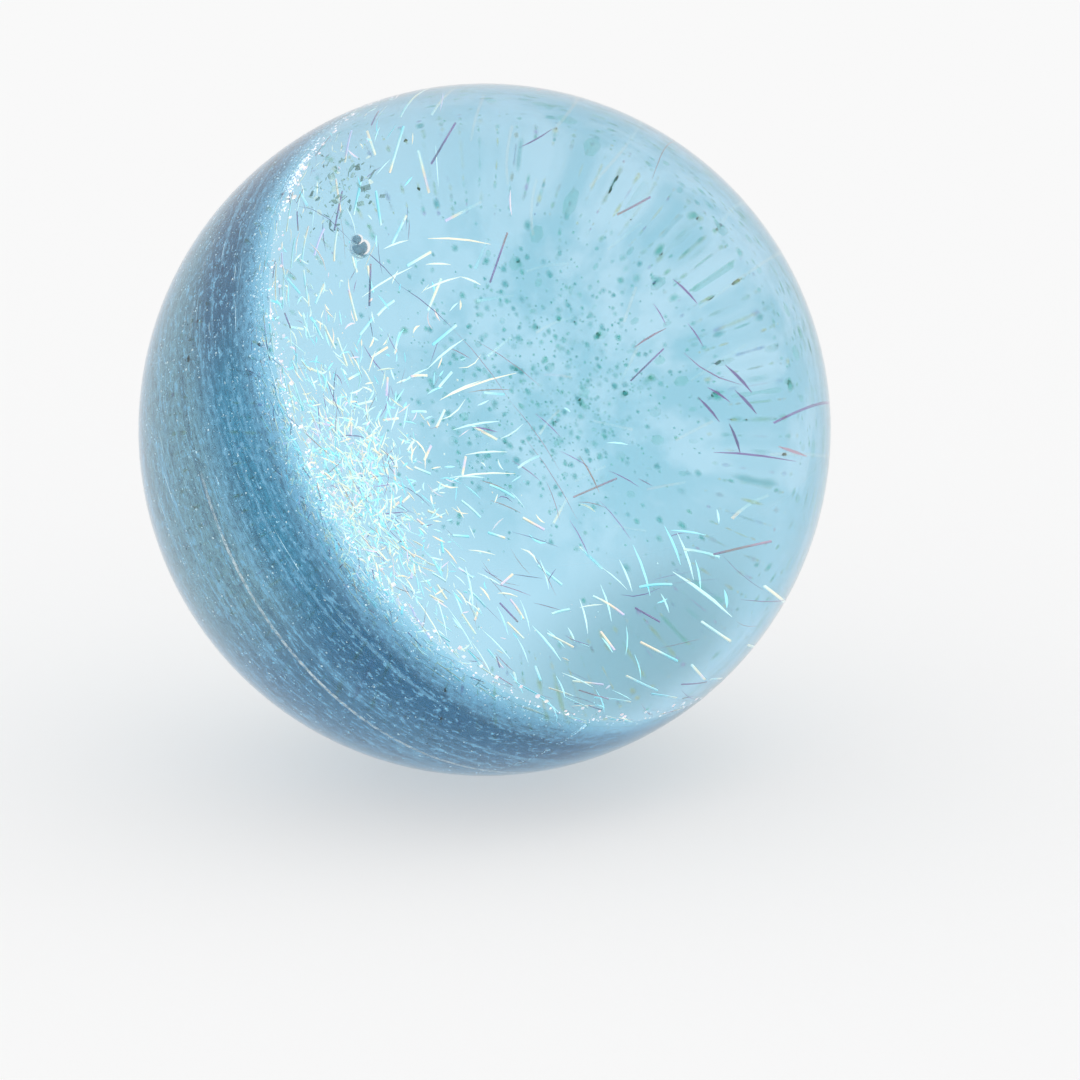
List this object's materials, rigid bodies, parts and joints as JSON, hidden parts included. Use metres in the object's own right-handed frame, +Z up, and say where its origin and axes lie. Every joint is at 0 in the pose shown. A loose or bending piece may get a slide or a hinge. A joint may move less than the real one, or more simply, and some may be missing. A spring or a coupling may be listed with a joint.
{
  "type": "glass marble",
  "caption": "Clear glass ball with a blue glass cup fused over its back and a burst of fine metallic strands across its middle.",
  "frame": {"origin": "centre of the ball", "axes": "+Z up as the marble stands in its ring; -Y is the front; the clear face's axis points right, forward and up"},
  "size_m": [0.042, 0.042, 0.042],
  "materials": {
    "clear_glass": "fire-polished, smooth and clear",
    "blue_glass": "translucent blue with fine streaks and sparkling specks",
    "pale_thread": "pale, sparkling",
    "dichroic_film": "thin metal-oxide film on glass, cyan-white to pale yellow",
    "violet_film": "thin film, dark violet",
    "pale_frit": "pinkish-white crushed glass",
    "green_glass": "dark green glass crumbs",
    "flake_film": "crinkled film flakes"
  },
  "bodies": {
    "root": {"clear_glass": "clear_glass", "blue_backing": "blue_glass", "seam_thread": "pale_thread", "dichroic_strands": "dichroic_film", "violet_strands": "violet_film", "rim_frit": "pale_frit", "green_specks": "green_glass", "debris_flakes": "flake_film"}
  },
  "joints": []
}
